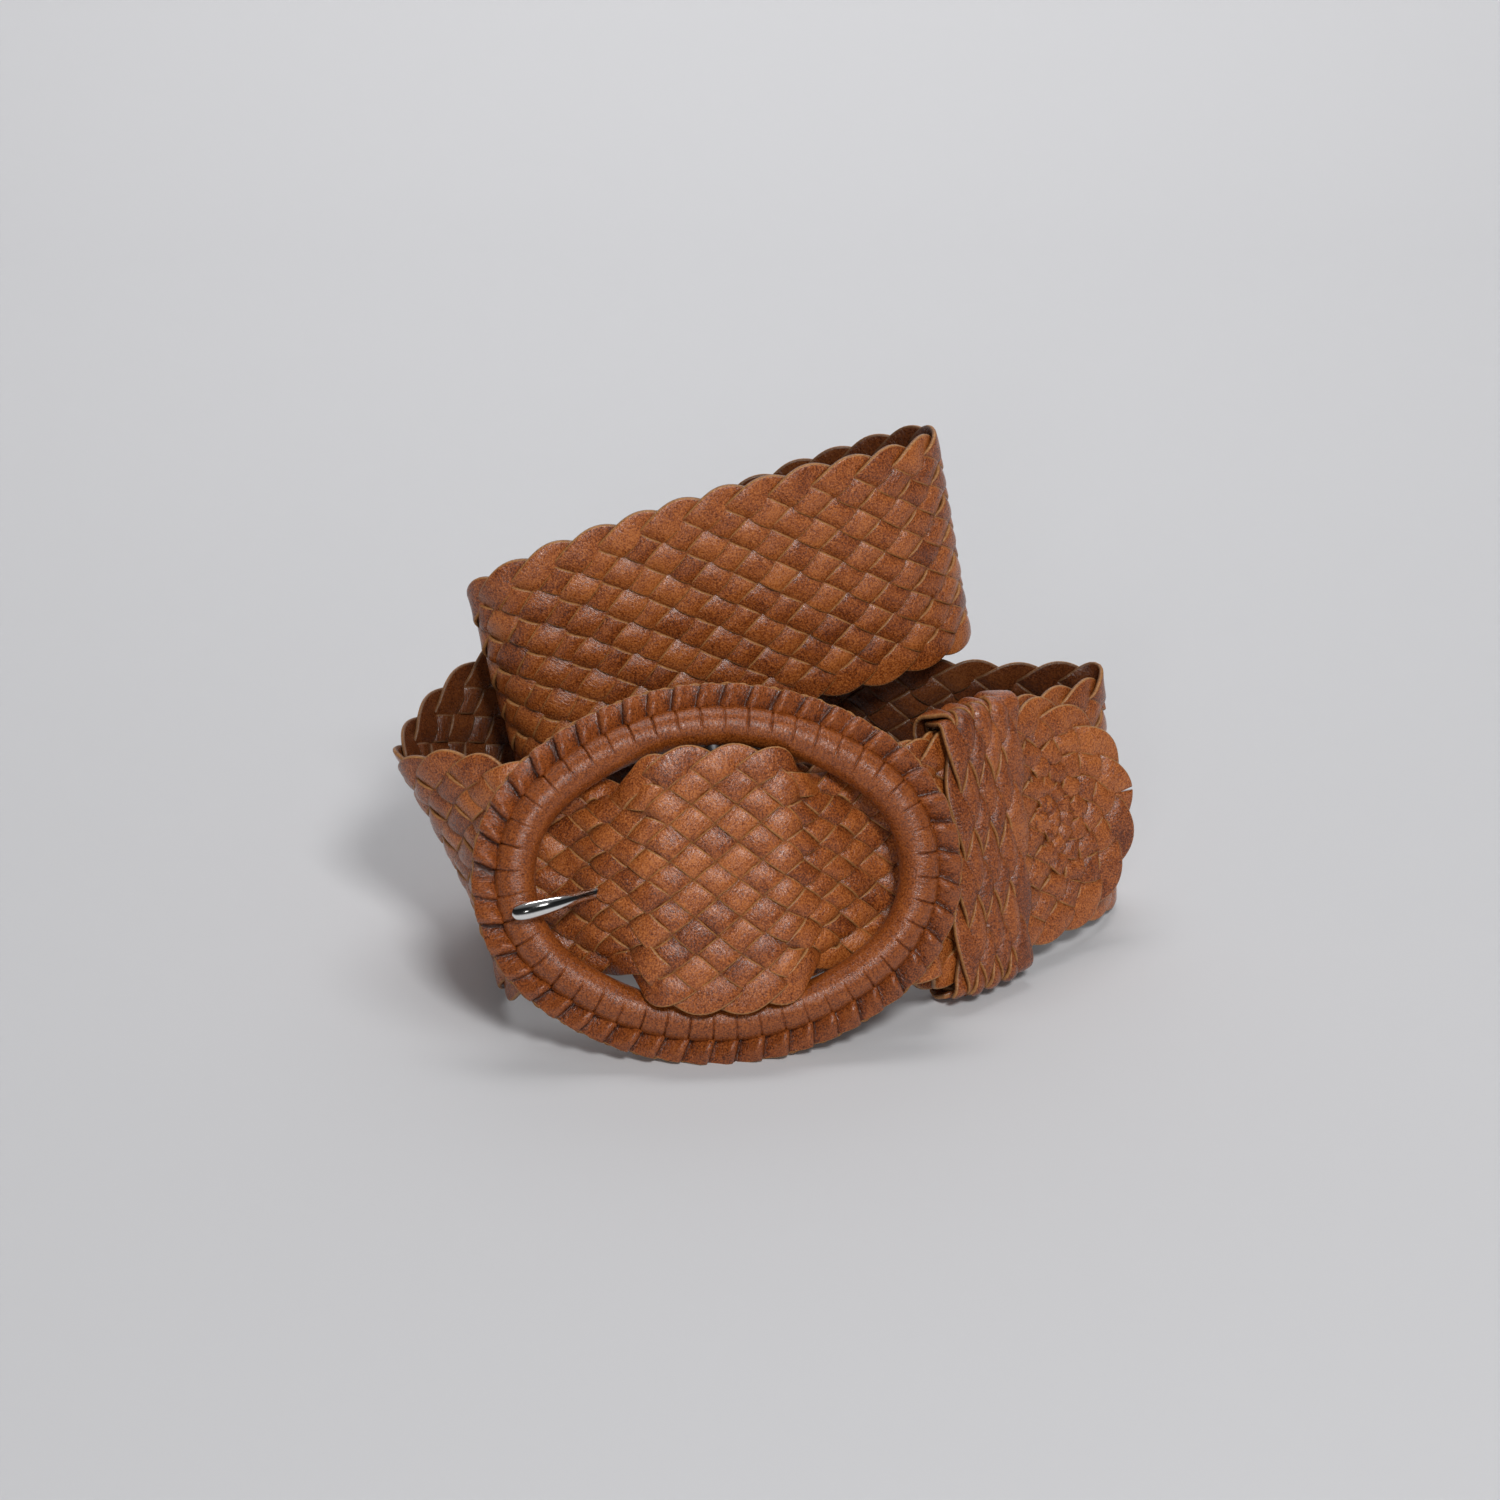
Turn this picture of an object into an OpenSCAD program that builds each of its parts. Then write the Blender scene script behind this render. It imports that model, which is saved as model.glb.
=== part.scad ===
// Wide braided leather belt, buckled and coiled into a double loop that stands on its edge.
// Millimetres. The floor is z = 0, the buckle faces -Y and leans back, +Z is up.

/* [Strap] */
// Width of the braided strap, edge to edge
strap_w = 64; // [50:0.5:80]
// Thickness of the braid, two crossing laces
strap_t = 3; // [2:0.1:4.5]
// Length of the rounded end of the strap
tip_len = 24; // [14:1:40]

/* [Buckle] */
// Half length of the oval along the centre line of its tube
ring_a = 49.5; // [40:0.5:60]
// Half height of the oval along the centre line of its tube
ring_b = 36; // [28:0.5:45]
// Radius of the two end arcs of that centre line
ring_end_r = 28.5; // [22:0.5:34]
// Radius of the leather tube that covers the ring
tube_r = 5; // [4:0.1:7]
// Thickness of that leather
cover_t = 1.3; // [0.8:0.1:2]
// How far the pleated edge stands out past the tube
frill_w = 5.5; // [3:0.5:9]
// Number of pleats round the edge
pleats = 48; // [30:1:90]
// Radius of the centre bar
bar_r = 2; // [1.5:0.1:3]
// Lean of the buckle away from upright, degrees
lean = 25; // [0:1:40]
// Turn of the buckle about the vertical, degrees
yaw = 5; // [0:1:20]

/* [Prong] */
// Width of the prong
prong_w = 3.4; // [2:0.1:4]
// Running gap between the prong's eye and the bar, and between the fold and the bar
run_gap = 0.06; // [0.02:0.01:0.1]
// Slant of the prong across the strap, degrees
prong_slant = 12; // [0:1:20]

/* [Keeper] */
// Width of the keeper along the strap
keeper_w = 27; // [15:1:40]
// Thickness of the keeper's braid
keeper_t = 2.6; // [1.8:0.1:4]
// Gap between the keeper and the straps inside it
keeper_gap = 0.4; // [0.3:0.1:1]
// Turn of the keeper about the vertical, degrees
keeper_yaw = 41; // [20:1:60]
// Lean of the keeper away from upright, degrees
keeper_lean = 18; // [0:1:30]
// How far the keeper sits toward the buckle
keeper_back = 8; // [0:0.5:8]
// How much further toward the buckle its lower edge sits than its upper edge
keeper_slant = 12; // [0:0.5:12]

/* [Hidden] */
$fn = 64;
// steps between two rows of the strap
steps = 6;
// shift that puts the middle of the base at the origin
mid = [-11.65, -59.68, -0.2];
// centre of the buckle and lower edge of the strap at the keeper
buckle_c = [-0.5, 19, 42.2];
keeper_c = [75, 47.5, 4.4];
// gap between two straps lying on each other, middle to middle
layer = strap_t + 0.6;
half_w = strap_w / 2;
// radius of the two side arcs of the oval
side_r = (ring_a * ring_a + ring_b * ring_b - 2 * ring_a * ring_end_r) / (2 * (ring_b - ring_end_r));
// half angle of an end arc
end_ang = atan2(side_r - ring_b, ring_a - ring_end_r);
eye_r = bar_r + run_gap + 1.4;

// a point of a leaning frame: x along it, y up it, z out of its front
function frame_pt(c, turn, tilt, p) =
    let (q = [p[0], p[1] * sin(tilt) - p[2] * cos(tilt), p[1] * cos(tilt) + p[2] * sin(tilt)])
    c + [q[0] * cos(turn) - q[1] * sin(turn), q[0] * sin(turn) + q[1] * cos(turn), q[2]];
// one row of the strap across the buckle or the keeper: lower edge point, upper edge point
// (the upper point stands back along the strap by skew), and how far the middle bows out past the edges
function brow(x, lo, hi, n, skew = 0, bow = 0) =
    [frame_pt(buckle_c, yaw, lean, [x, lo, n]), frame_pt(buckle_c, yaw, lean, [x - skew, hi, n]), bow];
function krow(x, n, lo = 0, hi = strap_w, skew = 0) =
    [frame_pt(keeper_c, keeper_yaw, keeper_lean, [x - skew, lo, n]),
     frame_pt(keeper_c, keeper_yaw, keeper_lean, [x, hi, n])];

// rows of the strap from the buckle round both coils and back: lower edge, upper edge
run_lower = [
    brow(14, -28, 28, -2),
    brow(22, -27.2, 27.2, -5.2, 0.5),
    brow(25.5, -27, 27, -9, 0.7, 1.6),
    brow(30, -28, 28, -12.1, 1.5, 4),
    brow(35, -29, 29, -12.7, 2.5, 3),
    brow(41, -30, 30, -13.3, 5, 1.2),
    brow(49, -31, 31, -14.4, 7),
    krow(-21, 0, skew = 8),
    krow(-7, 0),
    krow(7, 0),
    krow(21, 0),
    [[99, 71, 2], [88, 84, 65]],
    [[103, 82, 0.8], [96, 91, 64]],
    [[99, 92, 0.3], [97, 97, 65]],
    [[88, 98, 0.3], [87, 98, 64.8]],
    [[72, 100, 0.5], [72, 98, 64.8]],
    [[46, 100, 3], [46, 98, 66.8]],
    [[15, 99, 6], [15, 99, 70]],
    [[-15, 98, 12], [-16, 98, 76]],
    [[-38, 95, 18], [-41, 97, 82]]
];
run_upper = [
    [[15, 99, 6], [15, 99, 70]],
    [[-15, 98, 12], [-16, 98, 76]],
    [[-38, 95, 18], [-41, 97, 82]],
    [[-44, 90, 22], [-56, 94, 86]],
    [[-48, 82, 27], [-64, 88, 90]],
    [[-42, 74, 35], [-56, 80, 99]],
    [[-28, 72, 45], [-37, 79, 108]],
    [[-6, 74, 53], [-14, 80, 116]],
    [[21, 78, 60], [12, 82, 123]],
    [[44, 84, 64], [35, 86, 127]],
    [[58, 92, 66.5], [46.5, 92, 128]],
    [[64, 102, 67.5], [53, 101, 128.2]],
    [[58, 114, 63], [49, 112, 125]],
    [[40, 120, 55], [33, 118, 118]],
    [[12, 121, 44], [5, 119, 107]],
    [[-11, 117, 31], [-21, 116, 94]],
    [[-29, 110, 19], [-43, 110, 81]]
];
run_front = [
    [[12, 121, 44], [5, 119, 107]],
    [[-11, 117, 31], [-21, 116, 94]],
    [[-29, 110, 19], [-43, 110, 81]],
    [[-44, 99, 10], [-60, 99, 70]],
    [[-52, 87, 5], [-72, 89, 64]],
    [[-54, 74, 2], [-80, 76, 59]],
    [[-52, 59, 1.3], [-83, 63, 56]],
    [[-54, 46, 1.6], [-79, 54, 58]],
    [[-54, 33, 3], [-70, 47, 63]],
    [[-53, 22, 5], [-61, 42, 65]],
    brow(-47, -31, 30, -11, 4),
    brow(-41, -30, 30, -9.6, 2, 0.8),
    brow(-35, -28.6, 28.6, -8.7, 1, 2.6),
    brow(-29, -25.6, 25.6, -7.9, 0, 7.8),
    brow(-24, -23.4, 23.4, -2.6, 0, 5.6),
    brow(-19.5, -26.2, 26.2, 3.5, 0, 2.2),
    brow(-14, -30.3, 30.3, 6.4, 0, 0.4),
    brow(0, -32, 31, 7),
    brow(14, -30.3, 30, 6.4, 0, 0.2),
    brow(19.5, -26.7, 26.7, 3, 0, 2)
];
run_tip = [
    brow(0, -32, 31, 7),
    brow(14, -30.3, 30, 6.4, 0, 0.2),
    brow(19.5, -26.7, 26.7, 3, 0, 2),
    brow(24, -24.1, 24.1, -2.6, 0, 4.8),
    brow(29, -26.4, 26.4, -7.3, 0, 6.4),
    brow(34, -28, 28, -8.3, 1, 4),
    brow(39, -29, 29, -8.6, 2.5, 1.4),
    brow(46, -30, 30, -9.2, 5),
    brow(54, -31, 31, -10, 7.5),
    krow(-21, layer, skew = 8),
    krow(-7, layer),
    krow(7, layer),
    krow(21, layer),
    krow(32, layer + 1.5, 0.5, 63.5),
    krow(43, layer + 4, 1, 63),
    krow(54, layer + 7, 1.5, 62.5)
];

// smooth curve through rows of points
function knot(a, b, c, d, t) =
    0.5 * (2 * b + (c - a) * t + (2 * a - 5 * b + 4 * c - d) * t * t + (3 * b - a - 3 * c + d) * t * t * t);
function side_of(row, side) = side < len(row) ? row[side] : 0;
function edge_at(rows, side, i, t) = knot(side_of(rows[i - 1], side), side_of(rows[i], side),
    side_of(rows[i + 1], side), side_of(rows[i + 2], side), t);
// sampled rows between the second and the last but one
function curve(rows, side) =
    [for (i = [1:len(rows) - 3]) for (k = [0:steps - 1]) edge_at(rows, side, i, k / steps),
     side_of(rows[len(rows) - 2], side)];
function unit(v) = v / norm(v);
function along(p, i) = p[min(i + 1, len(p) - 1)] - p[max(i - 1, 0)];

// the way the middle of the band bows: straight out of the buckle
bow_way = frame_pt([0, 0, 0], yaw, lean, [0, 0, 1]);
// places across the band where its bowed middle is sampled, as shares of the half width
bowed = [-1, -0.6, 0, 0.6, 1];
// a band of even thickness between two edge curves; where rows say so its middle bows out
module band(rows, taper = false, across = [-1, 1]) {
    lo = curve(rows, 0);
    hi = curve(rows, 1);
    bow = curve(rows, 2);
    n = len(lo);
    m = len(across);
    gone = [for (i = [0:n - 1]) norm((lo[n - 1] + hi[n - 1]) / 2 - (lo[i] + hi[i]) / 2)];
    keep = [for (i = [0:n - 1]) !taper || gone[i] > tip_len ? 1
        : max(0.2, sqrt(1 - pow(1 - gone[i] / tip_len, 2)))];
    mid_pt = [for (i = [0:n - 1]) (lo[i] + hi[i]) / 2];
    skin = [for (i = [0:n - 1]) [for (q = across)
        mid_pt[i] + (hi[i] - lo[i]) / 2 * keep[i] * q + bow_way * bow[i] * (1 - pow(abs(q), 3))]];
    out = [for (i = [0:n - 1]) [for (k = [0:m - 1]) strap_t / 2 * unit(cross(
        along([for (row = skin) row[k]], i), along(skin[i], k)))]];
    // one ring of points a row: up the front, then down the back
    pts = [for (i = [0:n - 1]) each concat(
        [for (k = [0:m - 1]) skin[i][k] + out[i][k]],
        [for (k = [m - 1:-1:0]) skin[i][k] - out[i][k]])];
    r = 2 * m;
    sides = [for (i = [0:n - 2]) for (k = [0:r - 1])
        let (j = (k + 1) % r)
            each [[i * r + k, i * r + j, i * r + r + k], [i * r + j, i * r + r + j, i * r + r + k]]];
    ends = [for (k = [0:m - 2]) each [
        [k, r - 1 - k, r - 2 - k],
        [k, r - 2 - k, k + 1],
        [(n - 1) * r + k, (n - 1) * r + r - 2 - k, (n - 1) * r + r - 1 - k],
        [(n - 1) * r + k, (n - 1) * r + k + 1, (n - 1) * r + r - 2 - k]]];
    translate(mid)
        polyhedron(pts, concat(sides, ends), convexity = 10);
}

module buckle_frame() {
    translate(mid + buckle_c)
        rotate([0, 0, yaw])
            rotate([90 - lean, 0, 0])
                children();
}

module keeper_frame() {
    translate(mid + keeper_c)
        rotate([0, 0, keeper_yaw])
            rotate([90 - keeper_lean, 0, 0])
                children();
}

// sweeps a flat profile round the oval: the profile's x is measured outward from the tube's centre line.
// The side arcs run on by an angle into the end arcs, whose profile is larger by $fat.
module oval_sweep(over = 0) {
    for (s = [-1, 1]) {
        $fat = over > 0 ? 0.03 : 0;
        translate([s * (ring_a - ring_end_r), 0, 0])
            rotate([0, 0, s > 0 ? -end_ang : 180 - end_ang])
                rotate_extrude(angle = 2 * end_ang)
                    translate([ring_end_r, 0])
                        children();
    }
    for (s = [-1, 1]) {
        $fat = 0;
        translate([0, s * (ring_b - side_r), 0])
            rotate([0, 0, (s > 0 ? end_ang : 180 + end_ang) - over])
                rotate_extrude(angle = 180 - 2 * end_ang + 2 * over)
                    translate([side_r, 0])
                        children();
    }
}

// arc lengths that place the pleats evenly
end_len = 2 * end_ang * PI / 180 * ring_end_r;
side_len = (180 - 2 * end_ang) * PI / 180 * side_r;
round_len = 2 * (end_len + side_len);
// place and heading of a point at distance s round the oval: x, y, angle
function oval_at(s) =
    let (q = s - floor(s / round_len) * round_len)
    q < end_len ? arc_at(ring_a - ring_end_r, 0, ring_end_r, -end_ang + q / ring_end_r * 180 / PI)
    : q < end_len + side_len ? arc_at(0, ring_b - side_r, side_r, end_ang + (q - end_len) / side_r * 180 / PI)
    : q < 2 * end_len + side_len
        ? arc_at(ring_end_r - ring_a, 0, ring_end_r,
                 180 - end_ang + (q - end_len - side_len) / ring_end_r * 180 / PI)
    : arc_at(0, side_r - ring_b, side_r, 180 + end_ang + (q - 2 * end_len - side_len) / side_r * 180 / PI);
function arc_at(x, y, r, ang) = [x + r * cos(ang), y + r * sin(ang), ang];

// opening in the weave that the prong passes through
module prong_slot() {
    buckle_frame()
        translate([0, 3, 0])
            rotate([0, 0, prong_slant])
                translate([-36, -prong_w / 2 - 0.9, -4])
                    cube([17, prong_w + 1.8, 16]);
}

module strap_lower_run() {
    color("#96502d")
        band(run_lower);
}

module strap_upper_coil() {
    color("#96502d")
        band(run_upper);
}

module strap_front_run() {
    color("#96502d")
        // size kept on every axis, so band and slot become one mesh
        resize([0, 0, 0])
            difference() {
                band(run_front, across = bowed);
                prong_slot();
            }
}

module strap_tip_run() {
    color("#96502d")
        band(run_tip, taper = true, across = bowed);
}

// turned-back end of the strap round the bar, notched for the prong's eye
module strap_fold() {
    color("#8a4828")
        buckle_frame()
            difference() {
                rotate([-90, 0, 0])
                    translate([0, 0, -27.2])
                        union() {
                            cylinder(h = 54.4, r = bar_r + run_gap + 2.6);
                            linear_extrude(54.4)
                                mirror([0, 1])
                                    polygon([[-1, -3], [-1, 3], [1, 4.2], [5, 4], [12, 1.6], [20.2, -2.6],
                                        [20.4, -8], [25, -11.8], [28.5, -14.8], [35, -15.6], [43, -16.4],
                                        [43, -18.9], [35, -18.1], [28, -17.3], [24.5, -14], [12, -7.7],
                                        [4, -5]]);
                        }
                rotate([-90, 0, 0])
                    cylinder(h = 70, r = bar_r + run_gap, center = true);
                translate([-8, -2.5, -12])
                    cube([14, 9.5, 24]);
            }
}

// two rows of thread that hold the turned-back end
module fold_stitching() {
    color("#d8b48c")
        buckle_frame()
            for (v = [-24:8:24])
                translate([40, v - 2.4, -19.13])
                    rotate([-90, 0, 0])
                        cylinder(h = 4.8, r = 0.45, $fn = 24);
}

module bar() {
    color("#9a9ea3")
        buckle_frame()
            rotate([-90, 0, 0])
                cylinder(h = 2 * (ring_b - tube_r + cover_t) - 0.4, r = bar_r, center = true);
}

module ring_core() {
    color("#8f9398")
        buckle_frame()
            oval_sweep(0.6)
                circle(r = tube_r - cover_t - 0.1 + $fat);
}

module ring_cover() {
    color("#9c5630")
        buckle_frame()
            difference() {
                oval_sweep(0.6)
                    difference() {
                        circle(r = tube_r + $fat);
                        circle(r = tube_r - cover_t - $fat);
                    }
                rotate([-90, 0, 0])
                    cylinder(h = 2 * ring_b, r = bar_r + 0.02, center = true);
            }
}

// flat back leaf that carries the pleats
module ring_flange() {
    color("#a9683c")
        buckle_frame()
            oval_sweep(0.6)
                translate([tube_r - 0.1 - $fat, -2.4 - $fat])
                    square([frill_w + 0.1 + 2 * $fat, 1.4 + 2 * $fat]);
}

// pleated edge: each pleat rises to a ridge and drops under the next
module ring_frill() {
    color("#93502c")
        buckle_frame() {
            oval_sweep(0.6)
                translate([tube_r + 0.06 - $fat, -0.9 - $fat])
                    square([frill_w - 0.9 + 2 * $fat, 1 + 2 * $fat]);
            for (i = [0:pleats - 1]) {
                p = oval_at((i + 0.5) * round_len / pleats);
                translate([p[0], p[1], 0])
                    rotate([0, 0, p[2]])
                        translate([tube_r + 0.3, -1.9, -0.4])
                            rotate([14, 0, 0])
                                cube([frill_w - 1, 4, 2.2]);
            }
        }
}

module prong() {
    color("#d6d8da")
        buckle_frame()
            difference() {
                union() {
                    translate([0, 0.7, 0])
                        rotate([-90, 0, 0])
                            cylinder(h = 4.6, r = eye_r);
                    translate([0, 3, 0])
                        rotate([0, 0, prong_slant])
                            rotate([-90, 0, 0])
                                translate([0, 0, -prong_w / 2])
                                    linear_extrude(prong_w)
                                        mirror([0, 1])
                                            prong_side();
                }
                rotate([-90, 0, 0])
                    cylinder(h = 70, r = bar_r + run_gap, center = true);
            }
}

// side of the prong: flat under the strap, bent up to lie over the ring
module prong_side() {
    polygon([[-2, 2.6], [-24, 2.6], [-30, 4.2], [-42, 8], [-47, 8.9], [-52, 8.6],
        [-52.6, 6.9], [-50, 6.2], [-47, 6.1], [-42, 5.4], [-30, 1.8], [-24, 0.2], [-2, 0.2]]);
    translate([-52, 7.6])
        circle(r = 1.2);
}

// place of the keeper's middle along the strap at height v
function keeper_at(v) = keeper_slant * (v / strap_w - 0.5) - keeper_back;

// braided loop round both straps, slanted along them
module keeper_band() {
    lo = -keeper_gap;
    back = -strap_t / 2 - keeper_gap;
    tall = strap_w + 2 * keeper_gap;
    deep = layer + strap_t + 2 * keeper_gap;
    low = lo - keeper_t - 1;
    high = lo + tall + keeper_t + 1;
    color("#96502d")
        keeper_frame()
            intersection() {
                difference() {
                    translate([-2 * keeper_w, lo - keeper_t, back - keeper_t])
                        cube([4 * keeper_w, tall + 2 * keeper_t, deep + 2 * keeper_t]);
                    translate([-3 * keeper_w, lo, back])
                        cube([6 * keeper_w, tall, deep]);
                    // rounded outer corners
                    for (y = [lo - keeper_t, lo + tall + keeper_t])
                        for (z = [back - keeper_t, back + deep + keeper_t])
                            translate([0, y, z])
                                rotate([45, 0, 0])
                                    cube([6 * keeper_w, 2.2, 2.2], center = true);
                }
                translate([0, 0, back - 2 * keeper_t])
                    linear_extrude(deep + 4 * keeper_t)
                        polygon([[keeper_at(low) - keeper_w / 2, low], [keeper_at(low) + keeper_w / 2, low],
                            [keeper_at(high) + keeper_w / 2, high], [keeper_at(high) - keeper_w / 2, high]]);
            }
}

// overlapping end of the keeper's braid, on the inner side
module keeper_lap() {
    color("#8a4828")
        keeper_frame()
            translate([keeper_at(strap_w / 2) - 10.5, 20, -strap_t / 2 - keeper_gap - keeper_t - 1.8])
                cube([21, 24, 1.8]);
}

module keeper_stitching() {
    color("#d8b48c")
        keeper_frame()
            for (y = [23, 41])
                for (x = [-8:4:8])
                    translate([keeper_at(strap_w / 2) + x - 1.3, y,
                               -strap_t / 2 - keeper_gap - keeper_t - 2.2])
                        rotate([0, 90, 0])
                            cylinder(h = 2.6, r = 0.4, $fn = 24);
}

strap_lower_run();
strap_upper_coil();
strap_front_run();
strap_tip_run();
strap_fold();
fold_stitching();
bar();
ring_core();
ring_cover();
ring_flange();
ring_frill();
prong();
keeper_band();
keeper_lap();
keeper_stitching();
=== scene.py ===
import math
import random

import bpy
import mathutils
import numpy as np
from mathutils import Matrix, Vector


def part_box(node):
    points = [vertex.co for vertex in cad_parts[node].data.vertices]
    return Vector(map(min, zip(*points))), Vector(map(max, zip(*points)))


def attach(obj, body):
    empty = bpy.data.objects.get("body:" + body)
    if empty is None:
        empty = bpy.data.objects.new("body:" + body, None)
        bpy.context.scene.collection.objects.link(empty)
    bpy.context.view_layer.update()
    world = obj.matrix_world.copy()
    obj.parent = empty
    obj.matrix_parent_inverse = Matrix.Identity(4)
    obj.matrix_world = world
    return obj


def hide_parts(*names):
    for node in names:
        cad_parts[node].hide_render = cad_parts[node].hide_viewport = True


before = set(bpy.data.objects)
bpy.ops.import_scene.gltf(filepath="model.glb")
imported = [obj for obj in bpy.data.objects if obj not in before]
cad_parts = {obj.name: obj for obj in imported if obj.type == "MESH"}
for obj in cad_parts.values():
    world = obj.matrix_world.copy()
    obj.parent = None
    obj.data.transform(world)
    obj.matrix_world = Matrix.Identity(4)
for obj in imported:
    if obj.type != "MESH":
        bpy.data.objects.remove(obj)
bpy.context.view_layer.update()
MM = 0.001

# ---------------------------------------------------------------- the belt's own sizes, in millimetres
# the strap and its braid
STRAP_T = 3.0
STRAP_W = 64.0
LAYER = STRAP_T + 0.6  # from one strap to the strap on top of it
LACES = 14
LACE_W = 7.15
LACE_T = 1.1
SCALLOP = 11.2  # along the edge, from one lace's turn to the next
EDGE_IN = 1.0  # how far a lace's centre line stays inside the edge
TURN = 0.75  # how round a lace turns at the edge, in crossings
LIFT = 0.95  # how far a lace rises and dips as it weaves
FLAT = 0.7  # how flat the tops and dips of the weave are
CROWN = 0.26  # how far a lace's middle stands over its edges
DIVE_SHADE = 0.75  # how much darker a lace is where it dives
TIP_ROUND = 29.0  # radius of the rounded tip
FAN_TURNS = 6  # how far the laces go round the tip, in scallops

# the leaning planes of the buckle and of the keeper's stretch of strap
LEAN, YAW = math.radians(25), math.radians(5)
BUCKLE_C = np.array([-0.5, 19.0, 42.2])
KEEPER_LEAN, KEEPER_YAW = math.radians(18), math.radians(41)
KEEPER_C = np.array([75.0, 47.5, 4.4])

# the keeper
KEEPER_W, KEEPER_GAP = 27.0, 0.4
KEEPER_BACK, KEEPER_SLANT = 8.0, 12.0
KEEPER_T = 1.4  # from the gap to the middle of its braid
KEEPER_CORNER = 2.2
KEEPER_BULGE = 0.9
KEEPER_LACES = 8
KEEPER_LACE_W, KEEPER_CROWN = 6.1, 0.42
KEEPER_LIFT = 1.15
KEEPER_TURNS = 9  # scallops round the loop

# the ring: half length and half height of its centre line, radius of its ends, radius of its tube
RING_A, RING_B, RING_END_R = 49.5, 36.0, 28.5
TUBE_R = 5.0
PLEATS = 48

# the prong
PRONG_SLANT = math.radians(12)
PRONG_V = 3.0  # where it sits along the bar
EYE_R, EYE_WALL, EYE_LONG = 3.2, 1.05, 1.4

# the bar's middle in the frame fixes how the sizes above sit in it
bar_lo, bar_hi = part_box("bar")
MID = (np.array(bar_lo) + np.array(bar_hi)) / 2 / MM - BUCKLE_C


def axes(lean, yaw):
    """Along, up and out directions of a leaning, turned frame."""
    along = np.array([math.cos(yaw), math.sin(yaw), 0.0])
    back = np.array([-math.sin(yaw), math.cos(yaw), 0.0])
    up = back * math.sin(lean) + np.array([0, 0, math.cos(lean)])
    return along, up, np.cross(along, up)


BX, BU, BN = axes(LEAN, YAW)
KX, KU, KN = axes(KEEPER_LEAN, KEEPER_YAW)


def in_buckle(x, v, n):
    """A point x along, v up and n out of the buckle's plane, from the ring's centre."""
    x, v, n = (np.asarray(a, float)[..., None] for a in (x, v, n))
    return BUCKLE_C + BX * x + BU * v + BN * n


def in_keeper(x, v, n):
    """A point x along, v up and n out of the plane of the strap under the keeper."""
    x, v, n = (np.asarray(a, float)[..., None] for a in (x, v, n))
    return KEEPER_C + KX * x + KU * v + KN * n


def brow(x, lo, hi, n, skew=0.0, bow=0.0):
    """A row by the buckle: lower edge, upper edge and bow; skew shifts the upper edge back."""
    return [in_buckle(x, lo, n), in_buckle(x - skew, hi, n), np.array([bow])]


def krow(x, n, lo=0.0, hi=STRAP_W, skew=0.0):
    """A row by the keeper; skew shifts the lower edge back."""
    return [in_keeper(x - skew, lo, n), in_keeper(x, hi, n), np.zeros(1)]


def row(lo, hi):
    """A row of the open coil, from the points of its two edges."""
    return [np.array(lo, float), np.array(hi, float), np.zeros(1)]


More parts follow.
